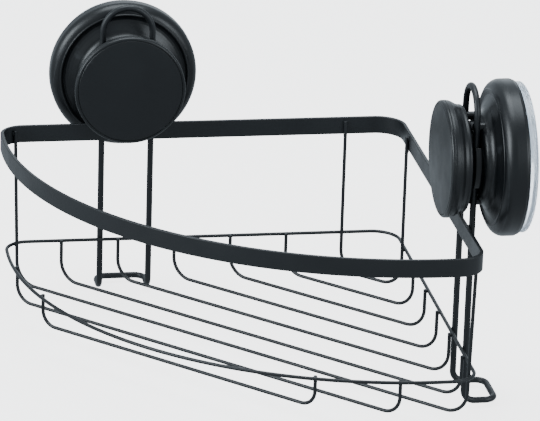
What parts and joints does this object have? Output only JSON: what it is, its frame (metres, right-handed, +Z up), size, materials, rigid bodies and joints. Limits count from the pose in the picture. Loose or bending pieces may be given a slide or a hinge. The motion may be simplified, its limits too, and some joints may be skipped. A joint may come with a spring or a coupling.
{
  "type": "corner shower caddy",
  "caption": "Quarter-round wire basket that hangs in a shower corner from two looped wire hangers, each held by a twist-lock suction cup.",
  "frame": {"origin": "the vertical line where the two walls meet, level with the underside of the hanger feet", "axes": "+Z up; +Y points into wall A, which is the plane Y = 0; +X points into wall B, which is the plane X = 0; the basket is at negative X and Y"},
  "size_m": [0.261, 0.261, 0.1766],
  "materials": {
    "powder_coat": "satin",
    "black_abs": "satin",
    "zinc_steel": "satin",
    "brass": "satin",
    "clear_pad": "gloss"
  },
  "bodies": {
    "frame": {"top_band": "powder_coat", "lower_ring": "powder_coat", "basket_wire_1": "powder_coat", "basket_wire_2": "powder_coat", "basket_wire_3": "powder_coat", "basket_wire_4": "powder_coat", "basket_wire_5": "powder_coat", "basket_wire_6": "powder_coat", "basket_wire_7": "powder_coat", "front_wire_1": "powder_coat", "front_wire_2": "powder_coat", "hanger_a": "powder_coat", "hanger_b": "powder_coat"},
    "cup_a": {"cup_a_housing": "black_abs", "cup_a_washer": "zinc_steel"},
    "knob_a": {"cup_a_knob": "black_abs", "cup_a_knob_cap": "black_abs", "cup_a_nut": "brass"},
    "stud_a": {"cup_a_stud": "zinc_steel", "cup_a_pad": "clear_pad"},
    "cup_b": {"cup_b_housing": "black_abs", "cup_b_washer": "zinc_steel"},
    "knob_b": {"cup_b_knob": "black_abs", "cup_b_knob_cap": "black_abs", "cup_b_nut": "brass"},
    "stud_b": {"cup_b_stud": "zinc_steel", "cup_b_pad": "clear_pad"}
  },
  "joints": [
    {"name": "cup_a_height", "type": "slide", "parent": "frame", "child": "cup_a", "axis": [0, 0, 1], "range_m": [-0.0109, 0.0113]},
    {"name": "knob_a_turn", "type": "hinge", "parent": "cup_a", "child": "knob_a", "pos_m": [-0.188, -0.03, 0.1249], "axis": [0, 1, 0], "range_deg": [0, 990]},
    {"name": "stud_a_draw", "type": "slide", "parent": "cup_a", "child": "stud_a", "axis": [0, -1, 0], "range_m": [0, 0.00344]},
    {"name": "cup_b_height", "type": "slide", "parent": "frame", "child": "cup_b", "axis": [0, 0, 1], "range_m": [-0.0208, 0.0074]},
    {"name": "knob_b_turn", "type": "hinge", "parent": "cup_b", "child": "knob_b", "pos_m": [-0.03, -0.198, 0.1348], "axis": [1, 0, 0], "range_deg": [0, 990]},
    {"name": "stud_b_draw", "type": "slide", "parent": "cup_b", "child": "stud_b", "axis": [-1, 0, 0], "range_m": [0, 0.00344]}
  ],
  "couplings": [
    {"joint": "stud_a_draw", "follows": "knob_a_turn", "m_per_rad": 0.00019894},
    {"joint": "stud_b_draw", "follows": "knob_b_turn", "m_per_rad": 0.00019894}
  ]
}
